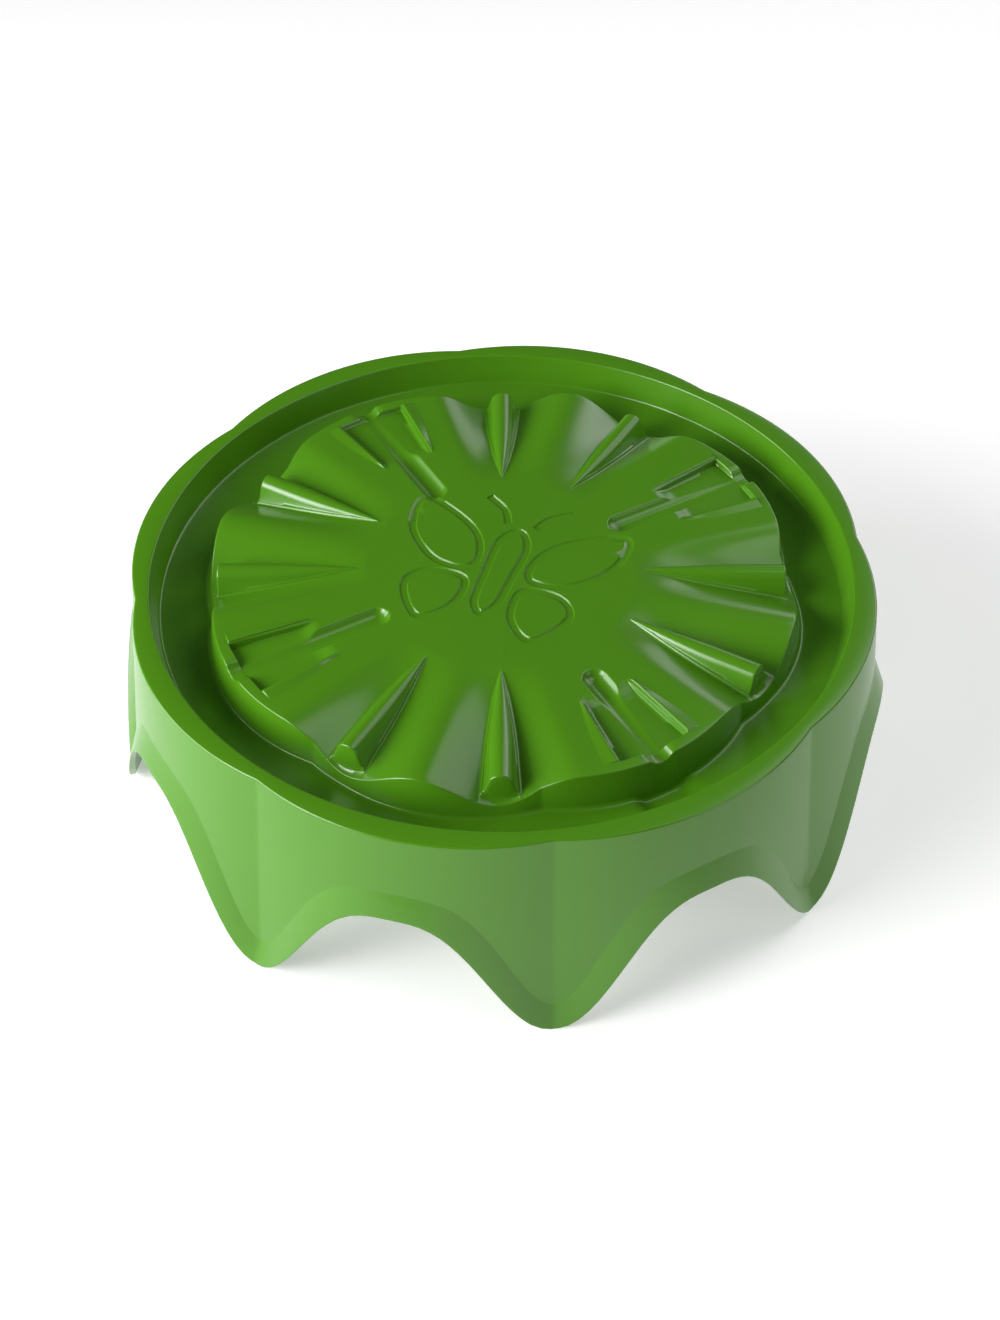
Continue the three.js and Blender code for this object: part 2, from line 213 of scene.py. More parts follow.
def foot_fillet(r, v):
    """The valley floor's rise in the fillet round a rib's flanks and end face."""
    depth = rib_crest(r) - valley_floor(r, 0)
    size = np.clip(0.5 * depth, 0.01, FOOT_FILLET)
    out = np.hypot(np.maximum(np.abs(v) - rib_foot(r), 0), np.maximum(r - FEATURE_END - 0.1, 0))
    return size - np.sqrt(size**2 - np.maximum(size - out, 0) ** 2)


def clip_height(r, v, groove_start):
    """Height over a clip group: a fin and a pocket on each side of a round groove."""
    side = np.abs(v)
    before_end = 1 - smooth_step(r, FEATURE_END - WALL_HALF, FEATURE_END + WALL_HALF)
    face = along(FIN_FACE, r)
    slope = 1 - np.clip((side - face) / (fin_foot(r) - face), 0, 1)
    slope *= smooth_step(side, face - WALL_HALF, face + WALL_HALF)
    start = smooth_step(r, POCKET_START - FIN_START, POCKET_START + FIN_START)
    fin = -HUB_LEVEL * slope * start * before_end
    edge = along(POCKET_EDGE, r)
    inside = 1 - smooth_step(side, edge - WALL_HALF, edge + WALL_HALF)
    ramp = smooth_step(r, POCKET_START + POCKET_RAMP[0], POCKET_START + POCKET_RAMP[1])
    pocket = -along(POCKET_DEPTH, r) * ramp * before_end * inside
    deep = np.hypot(side, np.maximum(groove_start - r, 0))
    groove = GROOVE_AXIS - np.sqrt(np.maximum(GROOVE_RADIUS**2 - deep**2, 0))
    groove += np.maximum(deep - GROOVE_RADIUS, 0) * 8      # past its edge it leaves the hub's top
    return smooth_min(HUB_LEVEL + fin + pocket, groove, GROOVE_EDGE)


def hub_height(r, degrees, sector):
    """Height of the hub's top, in a sector with a rib or with a clip group."""
    away = degrees - sector * SECTOR
    v = r * np.sin(np.radians(away))
    if sector in CLIP_SECTORS:
        return clip_height(r, v, GROOVE_STARTS[sector])
    return smooth_max(valley_floor(r, away) + foot_fillet(r, v), rib_height(r, v), 0.15)


# the mesh's columns run outwards and follow the edges of ribs and pockets; its rows run round
def spread(anchors, counts):
    """Values between each two anchors, in equal steps, with the last anchor left out."""
    values = []
    for start, end, count in zip(anchors, anchors[1:], counts):
        values += [start + (end - start) * i / count for i in range(count)]
    return values


def rib_columns(r):
    """Angles from a rib's middle outwards: crest, flank, foot fillet and valley."""
    foot = max(float(rib_foot(np.array(r))), 0.1)
    near = 0.2 * min(foot, 1)
    tangent = float(rib_round(np.array(r))) / math.hypot(1, RIB_DRAFT)
    shoulder = min(tangent, 0.9 * foot)
    flank = min(shoulder, foot - near - 0.01)
    reach = [0, shoulder * 0.6, flank, foot - near, foot - near / 4, foot + 0.06, foot + 0.8]
    angles = [math.degrees(math.asin(v / r)) for v in reach] + [7.0, 7.5, 8.0, SECTOR / 2]
    return spread(angles, [4, 5, 2, 1, 1, 6, 2, 1, 1, 5])


CLIP_TRUE = 44.0               # inside this radius a clip group's columns draw together


def clip_columns(r, groove_start):
    """Angles from a groove's middle outwards: groove, pocket, fin and the hub beside it."""
    into = max(groove_start - r, 0)
    half = math.sqrt(max(GROOVE_RADIUS**2 - (GROOVE_AXIS - HUB_LEVEL) ** 2 - into**2, 0.8))
    half -= 0.5 * float(smooth_step(np.array(r), CLIP_TRUE, CLIP_TRUE + 6))
    shrink = min(1, r / CLIP_TRUE)
    edge = float(along(POCKET_EDGE, np.array(r)))
    face = float(along(FIN_FACE, np.array(r)))
    foot = float(fin_foot(np.array(r)))
    outer = [edge - WALL_HALF, edge + WALL_HALF, face - WALL_HALF, face + WALL_HALF]
    outer += [max(foot - 0.2, face + WALL_HALF + 0.1), foot + 0.4]
    reach = [0, half - 0.3, half + 0.3] + [v * shrink for v in outer]
    angles = [math.degrees(math.asin(v / r)) for v in reach] + [SECTOR / 2]
    return spread(angles, [7, 3, 4, 4, 1, 4, 4, 3, 4])


def column_angles(r):
    """Every column's direction at radius r, in degrees, and the sector that it is in."""
    directions = []
    sectors = []
    for sector in range(int(360 / SECTOR)):
        half = clip_columns(r, GROOVE_STARTS[sector]) if sector in CLIP_SECTORS else rib_columns(r)
        offsets = [-SECTOR / 2] + [-a for a in half[:0:-1]] + half
        directions += [sector * SECTOR + a for a in offsets]
        sectors += [sector] * len(offsets)
    return np.array(directions), np.array(sectors)


def rounded(corners, radii, steps=4):
    """Profiles through the corners, each corner replaced by a round. Corners are arrays of (r, z)."""
    rows = []
    for i, radius in enumerate(radii):
        before, corner, after = corners[i], corners[i + 1], corners[i + 2]
        back = before - corner
        ahead = after - corner
        back_length = np.linalg.norm(back, axis=1, keepdims=True)
        ahead_length = np.linalg.norm(ahead, axis=1, keepdims=True)
        back = back / back_length
        ahead = ahead / ahead_length
        half_turn = (math.pi - np.arccos(np.clip((back * ahead).sum(1), -1, 1))) / 2
        reach = (radius * np.tan(half_turn))[:, None]
        reach = np.minimum(reach, 0.45 * np.minimum(back_length, ahead_length))
        for step in range(steps + 1):
            t = step / steps
            start, end = corner + back * reach, corner + ahead * reach
            rows.append((1 - t) ** 2 * start + 2 * t * (1 - t) * corner + t**2 * end)
    return rows


def row(r, z, count):
    """One (r, z) corner for every column."""
    return np.stack([np.broadcast_to(r, count), np.broadcast_to(z, count)], axis=1).astype(float)


DRAIN_ANGLE = 300.0
DRAIN_HALF_ANGLE = 6.0
DRAIN_DEPTH = 1.6


def drain(degrees):
    """How far the gutter dips into the drain channel in this direction."""
    away = np.abs(np.mod(degrees - DRAIN_ANGLE + 180, 360) - 180)
    return DRAIN_DEPTH * (1 - smooth_step(away, DRAIN_HALF_ANGLE * 0.6, DRAIN_HALF_ANGLE))


CLOSE_ROWS = (28.6, 48.0)      # between these radii ribs, grooves and pockets start: rows stand close
HUB_LIP = 0.9                  # a plain strip inside the hub's edge
CROWDED = 60.0                 # past this radius rows draw together where the hub is narrow
LAST_ROW = 0.4                 # distance of the relief's last row past the ribs' ends


def relief(height, r, directions, sectors):
    """The hub's height, on top or below, at every column's place in a row."""
    return np.array([height(*place) for place in zip(r, directions, sectors)])


def hub_rows():
    """Rows of (direction, radius, height) over the hub's relief, and the last row's sectors."""
    radii = list(np.arange(2, HUB_FLAT, 3.0))
    radii += list(np.arange(*CLOSE_ROWS, 0.35))
    radii += list(np.arange(CLOSE_ROWS[1], FEATURE_END - 1.2, 1.1))
    radii += list(np.arange(FEATURE_END - 0.7, FEATURE_END + LAST_ROW + 0.05, 0.1))
    last_directions, sectors = column_angles(FEATURE_END)
    room = np.minimum(0, lobed(HUB_TOP, last_directions) - HUB_LIP - radii[-1])
    rows = []
    for nominal in radii:
        directions = column_angles(min(max(nominal, HUB_FLAT), FEATURE_END))[0]
        r = nominal + room * np.clip((nominal - CROWDED) / (radii[-1] - CROWDED), 0, 1)
        rows.append((directions, r, relief(hub_height, r, directions, sectors)))
    return rows, sectors


HUB_WALL = (1.4, 0.7)          # inwards from the hub's wall to its back, at the top and at the foot
RIM_WALL = 1.2                 # the same for the wall between gutter and rim
BRIM_BEVEL = 0.15              # how much higher the brim's inner edge is
UNDER_AIM = 6.0                # the round at the wall's top runs out towards a point this far inwards


def shell_section(d, sectors):
    """Rows down the hub's wall, over the gutter, rim and skirt, and back under the hub's edge."""
    count = len(sectors)
    hub_edge = lobed(HUB_TOP, d)
    lip = relief(hub_height, hub_edge - HUB_LIP, d, sectors)
    top = relief(hub_height, hub_edge, d, sectors)
    under = np.minimum(top, HUB_LEVEL) - WALL
    edge = edge_height(d)
    brim = brim_height(d)
    rim = lobed(RIM_EDGE, d)
    foot = lobed(HUB_FOOT, d)
    bend = skirt_radius(d, brim)
    tip = skirt_radius(d, edge) + BRIM_FLARE
    gutter = GUTTER_FLOOR - drain(d)
    gutter_out = GUTTER_OUTER[1] - drain(d)
    # corners of the section, each with the round that replaces it; the end ones only aim the rounds
    section = [
        (hub_edge - HUB_LIP, lip, 0),
        (hub_edge, top, 0.5),
        (foot, gutter, 1.1),
        (GUTTER_OUTER[0], gutter_out, 0.9),
        (RIM_RADIUS, 0, 0.5),
        (rim, 0, 0.6),
        (bend, brim, 0.7),
        (tip, edge, 0.7),
        (tip - WALL, edge + BRIM_BEVEL, 0.45),
        (bend - WALL, brim, 0.7),
        (rim - WALL, -WALL, 0.6),
        (RIM_RADIUS + RIM_WALL, -WALL, 0.6),
        (GUTTER_OUTER[0] + WALL, gutter_out - WALL, 0.6),
        (foot - HUB_WALL[1], gutter - WALL, 1.2),
        (hub_edge - HUB_WALL[0], under, 0.6),
        (hub_edge - UNDER_AIM, under, 0),
    ]
    corners = [row(r, z, count) for r, z, radius in section]
    radii = [radius for r, z, radius in section[1:-1]]
    return [(d, ring[:, 0], ring[:, 1]) for ring in rounded(corners, radii)]


UNDER_RADII = (22.0, 3.0)      # the underside's relief: its inner radius, its gap to the hub's edge
PAD_START = (36.0, 41.0)       # radii between which the floor thickens under a clip group
PAD_SIDE = (1.0, 3.0)          # distances past a pocket's edge between which it thins again


def under_height(r, degrees, sector):
    """Height of the hub's underside: the backs of the valleys, grooves and pockets."""
    away = degrees - sector * SECTOR
    if sector not in CLIP_SECTORS:
        return valley_floor(r, away) - WALL
    v = r * math.sin(math.radians(away))
    padded = 1 - smooth_step(abs(v), POCKET_EDGE[1] + PAD_SIDE[0], POCKET_EDGE[1] + PAD_SIDE[1])
    pad = HUB_LEVEL - WALL - POCKET_DEPTH[1] * padded * smooth_step(r, *PAD_START)
    deep = math.hypot(v, max(GROOVE_STARTS[sector] - r, 0))
    if deep >= GROOVE_RADIUS + WALL:
        return pad
    return min(pad, GROOVE_AXIS - math.sqrt((GROOVE_RADIUS + WALL) ** 2 - deep**2))


def under_hub_rows(directions, sectors):
    inner, gap = UNDER_RADII
    rows = []
    for share in np.linspace(1, 0, 26):
        r = inner + (lobed(HUB_TOP, directions) - gap - inner) * share
        rows.append((directions, r, relief(under_height, r, directions, sectors)))
    return rows


def ring_mesh(name, rows):
    """A closed mesh from rings of points, capped flat at its first and last ring."""
    mesh = bpy.data.meshes.new(name)
    count = len(rows[0][0])
    points = []
    for directions, r, z in rows:
        angle = np.radians(directions)
        points.append(np.stack([r * np.cos(angle), r * np.sin(angle), HOOD_HEIGHT + z], axis=1))
    points = np.concatenate(points) * MM
    faces = []
    for i in range(len(rows) - 1):
        for j in range(count):
            k = (j + 1) % count
            faces.append((i * count + j, (i + 1) * count + j, (i + 1) * count + k, i * count + k))
    faces.append(tuple(range(count)))
    faces.append(tuple(reversed(range((len(rows) - 1) * count, len(rows) * count))))
    mesh.from_pydata(points.tolist(), [], faces)
    mesh.validate()
    return mesh


shell_rows, shell_sectors = hub_rows()
shell_directions = shell_rows[-1][0]
shell_rows += shell_section(shell_directions, shell_sectors)
shell_rows += under_hub_rows(shell_directions, shell_sectors)
hood_mesh = ring_mesh("hood_moulding", shell_rows)
hood_piece = bpy.data.objects.new("hood_moulding", hood_mesh)
bpy.context.scene.collection.objects.link(hood_piece)


# ---- Hood: sockets, collar and engraved moth --------------------------------------------------
# Under the hub the same moulding carries four blind sockets for the hanger pins and a collar with
# two inward ledges, which the lure holder's lugs rest on. A plain moth is engraved on top.
SOCKET_CIRCLE = 47.0
SOCKET_RADIUS = 5.0
SOCKET_BORE = 3.3
SOCKET_BOTTOM = 38.0
SOCKET_BORE_TOP = 49.5
SOCKET_TOP = 51.1
COLLAR_RADII = (15.0, 16.6)
COLLAR_BOTTOM = 45.0
COLLAR_TOP = 52.8
LEDGE_DEPTH = 1.6
LEDGE_HEIGHT = 1.4
LEDGE_ROOT = 0.5               # how far a ledge is sunk into the collar's wall
LEDGE_HALF_ANGLE = 32


def rounded_loop(points, steps=4):
    """A closed outline from (x, y, radius) corners, each corner replaced by a round."""
    outline = []
    for i, (x, y, radius) in enumerate(points):
        corner = Vector((x, y))
        back = Vector(points[i - 1][:2]) - corner
        ahead = Vector(points[(i + 1) % len(points)][:2]) - corner
        half_turn = (math.pi - back.angle(ahead)) / 2
        reach = min(radius * math.tan(half_turn), 0.48 * back.length, 0.48 * ahead.length)
        start = corner + back.normalized() * reach
        end = corner + ahead.normalized() * reach
        weight = math.cos(half_turn)
        for step in range(steps + 1 if radius else 1):
            t = step / steps
            shares = (1 - t) ** 2, 2 * t * (1 - t) * weight, t**2
            point = shares[0] * start + shares[1] * corner + shares[2] * end
            outline.append(point / sum(shares))
    return outline


def new_piece(name, bm):
    """An object made from mesh data, which is freed."""
    mesh = bpy.data.meshes.new(name)
    bm.to_mesh(mesh)
    bm.free()
    piece = bpy.data.objects.new(name, mesh)
    bpy.context.scene.collection.objects.link(piece)
    return piece


def lathe(name, profile, centre=(0, 0), segments=64, span=(0, 360)):
    """A closed mesh turned from (radius, height, round) corners; radius 0 lies on the axis."""
    outline = rounded_loop(profile)
    full = span[1] - span[0] == 360
    bm = bmesh.new()
    rings = []
    for i in range(segments if full else segments + 1):
        angle = math.radians(span[0] + (span[1] - span[0]) * i / segments)
        ring = []
        for r, z in outline:
            x = centre[0] + max(r, 0) * math.cos(angle)
            y = centre[1] + max(r, 0) * math.sin(angle)
            ring.append(bm.verts.new((x * MM, y * MM, z * MM)))
        rings.append(ring)
    for i in range(segments):
        here, there = rings[i], rings[(i + 1) % len(rings)]
        for j in range(len(outline)):
            k = (j + 1) % len(outline)
            bm.faces.new((here[j], there[j], there[k], here[k]))
    if not full:
        bm.faces.new(rings[0])
        bm.faces.new(reversed(rings[-1]))
    bmesh.ops.remove_doubles(bm, verts=bm.verts, dist=1e-7)
    bmesh.ops.recalc_face_normals(bm, faces=bm.faces)
    return new_piece(name, bm)


def prism(name, corners, low, high, turn=Matrix(), edge=0.0):
    """A closed mesh from an (x, y, round) outline, drawn up from low to high, then turned."""
    outline = rounded_loop(corners, steps=8)
    bm = bmesh.new()
    rings = [[bm.verts.new((x * MM, y * MM, z * MM)) for x, y in outline] for z in (low, high)]
    caps = [bm.faces.new(reversed(rings[0])), bm.faces.new(rings[1])]
    for j in range(len(outline)):
        k = (j + 1) % len(outline)
        bm.faces.new((rings[0][j], rings[0][k], rings[1][k], rings[1][j]))
    bmesh.ops.recalc_face_normals(bm, faces=bm.faces)
    if edge:
        rims = [rim for cap in caps for rim in cap.edges]
        bmesh.ops.bevel(bm, geom=rims, offset=edge * MM, segments=3, profile=0.5, affect="EDGES")
    bmesh.ops.transform(bm, matrix=turn, verts=bm.verts)
    return new_piece(name, bm)


def combine(piece, tool, operation):
    """Joins another closed mesh to a piece, or cuts it away, and drops the tool."""
    step = piece.modifiers.new("combine", "BOOLEAN")
    step.operation = operation
    step.solver = "MANIFOLD"
    step.object = tool
    bake_modifiers(piece)
    bpy.data.objects.remove(tool)


def bake_modifiers(piece):
    """Applies every modifier on a piece to its mesh."""
    graph = bpy.context.evaluated_depsgraph_get()
    result = bpy.data.meshes.new_from_object(piece.evaluated_get(graph))
    piece.modifiers.clear()
    result.name = piece.name
    piece.data = result


def pin_place(sector):
    """Where a clip group's pin stands, as (x, y)."""
    turn = math.radians(SECTOR * sector)
    return SOCKET_CIRCLE * math.cos(turn), SOCKET_CIRCLE * math.sin(turn)


for sector in CLIP_SECTORS:
    socket = lathe("socket", [
        (0, SOCKET_TOP, 0), (0, SOCKET_BORE_TOP, 0), (SOCKET_BORE, SOCKET_BORE_TOP, 0.4),
        (SOCKET_BORE, SOCKET_BOTTOM, 0.5), (SOCKET_RADIUS, SOCKET_BOTTOM, 0.5),
        (SOCKET_RADIUS, SOCKET_TOP, 0)], centre=pin_place(sector), segments=40)
    combine(hood_piece, socket, "UNION")
collar = lathe("collar", [
    (COLLAR_RADII[0], COLLAR_BOTTOM, 0.4), (COLLAR_RADII[1], COLLAR_BOTTOM, 0.5),
    (COLLAR_RADII[1], COLLAR_TOP, 0), (COLLAR_RADII[0], COLLAR_TOP, 0)], segments=96)
combine(hood_piece, collar, "UNION")
for middle in (90, 270):
    ledge = lathe("ledge", [
        (COLLAR_RADII[0] - LEDGE_DEPTH, COLLAR_BOTTOM, 0.3),
        (COLLAR_RADII[0] + LEDGE_ROOT, COLLAR_BOTTOM, 0),
        (COLLAR_RADII[0] + LEDGE_ROOT, COLLAR_BOTTOM + LEDGE_HEIGHT, 0),
        (COLLAR_RADII[0] - LEDGE_DEPTH, COLLAR_BOTTOM + LEDGE_HEIGHT, 0.3)],
        segments=24, span=(middle - LEDGE_HALF_ANGLE, middle + LEDGE_HALF_ANGLE))
    combine(hood_piece, ledge, "UNION")

ENGRAVING_WIDTH = 2.1
ENGRAVING_DEPTH = 0.3
ENGRAVING_TILT = -18           # degrees that the moth is turned on the hub


def smooth_path(points, closed, steps=14):
    """A flowing line through given points, as a Catmull-Rom spline."""
    count = len(points)
    path = []
    for i in range(count if closed else count - 1):
        near = [i - 1, i, i + 1, i + 2]
        if not closed:
            near = [min(max(place, 0), count - 1) for place in near]
        a, b, c, d = [Vector(points[place % count]) for place in near]
        for step in range(steps):
            t = step / steps
            path.append(0.5 * (2 * b + (c - a) * t + (2 * a - 5 * b + 4 * c - d) * t**2
                               + (3 * b - a - 3 * c + d) * t**3))
    if not closed:
        path.append(Vector(points[-1]))
    return path


def engraving_tool(path, closed):
    """A flat-bottomed cutter with sloping sides that follows a line on the hub."""
    above = 0.4                # how far the cutter stands out of the surface
    flat = HOOD_HEIGHT + HUB_LEVEL
    count = len(path)
    tilt = Matrix.Rotation(math.radians(ENGRAVING_TILT), 2)
    half = ENGRAVING_WIDTH / 2
    section = ((-half - above, above), (half + above, above),
               (half - ENGRAVING_DEPTH, -ENGRAVING_DEPTH), (-half + ENGRAVING_DEPTH, -ENGRAVING_DEPTH))
    bm = bmesh.new()
    rings = []
    for i, point in enumerate(path):
        before = path[i - 1] if closed or i else point
        after = path[(i + 1) % count] if closed or i < count - 1 else point
        direction = (after - before).normalized()
        side = Vector((direction.y, -direction.x))
        places = [(tilt @ (point + side * across), z) for across, z in section]
        rings.append([bm.verts.new((place.x * MM, place.y * MM, (flat + z) * MM))
                      for place, z in places])
    for i in range(count if closed else count - 1):
        here, there = rings[i], rings[(i + 1) % count]
        for j in range(len(section)):
            k = (j + 1) % len(section)
            bm.faces.new((here[j], here[k], there[k], there[j]))
    if not closed:
        bm.faces.new(rings[0])
        bm.faces.new(reversed(rings[-1]))
    bmesh.ops.recalc_face_normals(bm, faces=bm.faces)
    return new_piece("engraving", bm)


MOTH_BODY = [(0, 13.5), (3.4, 8.5), (3.2, -3), (2.6, -12),
             (0, -15.5), (-2.6, -12), (-3.2, -3), (-3.4, 8.5)]
MOTH_FOREWING = [(7.2, 6.2), (13, 13.4), (24.6, 18.5), (24.2, 7.5), (16, -1.2), (7.2, -1.6)]
MOTH_HINDWING = [(7.0, -5.8), (15.5, -5.4), (19.5, -11.5), (13.5, -20.5), (7.0, -15)]
MOTH_FEELER = [(3.4, 15.4), (5.6, 19.8), (10.5, 23.5)]
combine(hood_piece, engraving_tool(smooth_path(MOTH_BODY, True), True), "DIFFERENCE")
for side in (1, -1):
    for outline, closed in ((MOTH_FOREWING, True), (MOTH_HINDWING, True), (MOTH_FEELER, False)):
        mirrored = [(side * x, y) for x, y in outline]
        combine(hood_piece, engraving_tool(smooth_path(mirrored, closed), closed), "DIFFERENCE")


# ---- Hood: leaf-green polypropylene -----------------------------------------------------------
# Injection-moulded polypropylene with masterbatch colour from a polished, lightly textured mould:
# a soft broad gloss, a trace of orange peel and faint flow marks running out from the middle.
def linear(hex_colour):
    """sRGB hex to a linear colour for a shader socket."""
    values = [int(hex_colour[i:i + 2], 16) / 255 for i in (1, 3, 5)]
    return [v / 12.92 if v <= 0.04045 else ((v + 0.055) / 1.055) ** 2.4 for v in values] + [1]


def new_material(name):
    material = bpy.data.materials.new(name)
    material.use_nodes = True
    return material


def node(material, kind, settings=(), links=()):
    """Adds a shader node: settings are its properties or inputs, links are (input, node, output)."""
    made = material.node_tree.nodes.new(kind)
    for key, value in dict(settings).items():
        if key in made.inputs:
            made.inputs[key].default_value = value
        else:
            setattr(made, key, value)
    for key, source, output in links:
        material.node_tree.links.new(source.outputs[output], made.inputs[key])
    return made


def surface(material):
    return material.node_tree.nodes["Principled BSDF"]


def moulded(material, place, peel_mm, peel_height_mm):
    """Orange peel: the shallow ripple that moulded plastic shows in a reflection."""
    peel = node(material, "ShaderNodeTexNoise", {"Scale": 1 / (peel_mm * MM), "Detail": 2.0},
                [("Vector", place, "Object")])
    return node(material, "ShaderNodeBump", {"Strength": 1.0, "Distance": peel_height_mm * MM},
                [("Height", peel, "Fac")])


def polypropylene(name, dark, light, roughness, glow=0.0):
    """Moulded polypropylene: two close tones in 28 mm flow marks, a soft gloss and orange peel."""
    material = new_material(name)
    place = node(material, "ShaderNodeTexCoord")
    flow = node(material, "ShaderNodeTexNoise", {"Scale": 1 / (28 * MM), "Detail": 3.0},
                [("Vector", place, "Object")])
    tone = node(material, "ShaderNodeMix", {"data_type": "RGBA", "clamp_factor": True},
                [("Factor", flow, "Fac")])
    tone.inputs["A"].default_value = linear(dark)
    tone.inputs["B"].default_value = linear(light)
    gloss = node(material, "ShaderNodeMapRange",
                 {"From Min": 0.3, "From Max": 0.7, "To Min": roughness, "To Max": roughness + 0.03},
                 [("Value", flow, "Fac")])
    peel = moulded(material, place, peel_mm=2.2, peel_height_mm=0.008)
    shader = surface(material)
    shader.inputs["IOR"].default_value = 1.49
    shader.inputs["Subsurface Weight"].default_value = glow
    shader.inputs["Subsurface Radius"].default_value = (1.2 * MM, 1.2 * MM, 1.0 * MM)
    shader.inputs["Subsurface Scale"].default_value = 1.0
    tree = material.node_tree
    tree.links.new(tone.outputs["Result"], shader.inputs["Base Color"])
    tree.links.new(gloss.outputs["Result"], shader.inputs["Roughness"])
    tree.links.new(peel.outputs["Normal"], shader.inputs["Normal"])
    return material


GREEN = polypropylene("leaf_green_polypropylene_moulded", "#467d12", "#498113", roughness=0.21)


def finish_piece(piece, material, body, slot, *nodes, sharp=40):
    """Smooth shading with crisp corners, the material, and the part of the frame it stands for."""
    piece.data.materials.clear()
    piece.data.materials.append(material)
    piece.data.shade_smooth()
    if sharp:
        piece.data.set_sharp_from_angle(angle=math.radians(sharp))
    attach(piece, body)
    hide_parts(*nodes)


def crease_engraving(piece):
    """Only the engraving's edges are crisp; every other edge of the hood is a round."""
    reach = HUB_FLAT * MM
    bm = bmesh.new()
    bm.from_mesh(piece.data)
    for edge in bm.edges:
        inside = all(vert.co.xy.length < reach for vert in edge.verts)
        limit = math.radians(25 if inside else 75)
        edge.smooth = edge.calc_face_angle(0) < limit
    bm.to_mesh(piece.data)
    bm.free()


finish_piece(hood_piece, GREEN, "hood", "hood_plastic", "hood", sharp=None)
crease_engraving(hood_piece)


# ---- Lure holder: a slotted cup ---------------------------------------------------------------
# A cup of natural white polypropylene, open below, that twists into the hood's collar on two lugs.
# Six tall slots let the scent out. It is moulded in one piece, 1.4 mm thick.
HOLDER_RADII = (10.2, 11.6)
HOLDER_BOTTOM = 24.0
HOLDER_TOP = 51.6
HOLDER_WALL = 1.4
LUG_RADIUS = 14.6
LUG_HEIGHTS = (46.7, 48.4)
LUG_HALF_ANGLE = 26
LUG_ROOT = 0.4                 # how far inside the cup's wall a lug starts
SLOT_COUNT = 6
SLOT_HALF_WIDTH = 2.5
SLOT_HEIGHTS = (29.0, 43.0)
SLOT_TOP_ROUND = 1.2
SLOT_REACH = (-20, -4)         # along the cutter, from the axis: it goes through one wall only

WHITE = polypropylene("natural_white_polypropylene_moulded", "#e6e8e0", "#eceee8",
                      roughness=0.36, glow=0.15)
holder_piece = lathe("lure_holder_moulding", [
    (HOLDER_RADII[0], HOLDER_BOTTOM, 0.3), (HOLDER_RADII[1], HOLDER_BOTTOM, 0.4),
    (HOLDER_RADII[1], HOLDER_TOP, 0.8), (0, HOLDER_TOP, 0), (0, HOLDER_TOP - HOLDER_WALL, 0),
    (HOLDER_RADII[0], HOLDER_TOP - HOLDER_WALL, 0.6)], segments=96)
for middle in (90, 270):
    lug = lathe("lug", [
        (HOLDER_RADII[0] + LUG_ROOT, LUG_HEIGHTS[0], 0), (LUG_RADIUS, LUG_HEIGHTS[0], 0.3),
        (LUG_RADIUS, LUG_HEIGHTS[1], 0.3), (HOLDER_RADII[0] + LUG_ROOT, LUG_HEIGHTS[1], 0)],
        segments=20, span=(middle - LUG_HALF_ANGLE, middle + LUG_HALF_ANGLE))
    combine(holder_piece, lug, "UNION")
upright = Matrix.Rotation(math.radians(-90), 4, "Y")
for i in range(SLOT_COUNT):
    slot_tool = prism("slot", [
        (SLOT_HEIGHTS[0], -SLOT_HALF_WIDTH, SLOT_HALF_WIDTH),
        (SLOT_HEIGHTS[1], -SLOT_HALF_WIDTH, SLOT_TOP_ROUND),
        (SLOT_HEIGHTS[1], SLOT_HALF_WIDTH, SLOT_TOP_ROUND),
        (SLOT_HEIGHTS[0], SLOT_HALF_WIDTH, SLOT_HALF_WIDTH)],
        *SLOT_REACH, turn=Matrix.Rotation(2 * math.pi * i / SLOT_COUNT, 4, "Z") @ upright)
    combine(holder_piece, slot_tool, "DIFFERENCE")
finish_piece(holder_piece, WHITE, "lure_holder", "holder_plastic", "lure_holder")


# ---- Lure holder cap --------------------------------------------------------------------------
# A thin white polypropylene disc pressed into the cup's open end. A spigot ring grips the cup and
# a smaller ring holds the dispenser; a shallow slot below takes a coin or a thumbnail.
CAP_RADIUS = 13.2
CAP_BOTTOM = 22.2
CAP_TOP = 23.7
SPIGOT = (8.7, 9.9, 27.7)      # inner radius, outer radius and top
SEAT = (5.8, 7.0, 26.7)
COIN_SLOT = (7.5, 1.1, 0.6)    # half length, half width and depth

cap_profile = [(0, CAP_BOTTOM, 0), (CAP_RADIUS, CAP_BOTTOM, 0.5), (CAP_RADIUS, CAP_TOP, 0.4)]
for inner, outer, top in (SPIGOT, SEAT):
    cap_profile += [(outer, CAP_TOP, 0.2), (outer, top, 0.35), (inner, top, 0.25), (inner, CAP_TOP, 0.2)]
cap_profile.append((0, CAP_TOP, 0))
cap_piece = lathe("lure_holder_cap_moulding", cap_profile, segments=96)
half_length, half_width, depth = COIN_SLOT
slot_corners = [(-half_length, -half_width), (half_length, -half_width),
                (half_length, half_width), (-half_length, half_width)]
coin_slot = prism("coin_slot", [(x, y, half_width) for x, y in slot_corners],
                  CAP_BOTTOM - 1, CAP_BOTTOM + depth)
combine(cap_piece, coin_slot, "DIFFERENCE")
finish_piece(cap_piece, WHITE, "lure_cap", "holder_plastic", "lure_holder_cap")


# ---- Pheromone dispenser ----------------------------------------------------------------------
# A bell-shaped stopper of red-brown rubber, compression moulded, with a sleeve and a blind bore.
# It is soaked with the lure and stands loose in the cap's small ring.
DISPENSER_BOTTOM = 24.0
DISPENSER_LENGTH = 19.0
PLUG_RADII = (5.0, 4.4)
SLEEVE_RADIUS = 5.4
BORE_RADIUS = 1.9
PLUG_END = 0.55                # this and the next two are shares of the whole length
SLEEVE_START = 0.62
BORE_END = 0.5


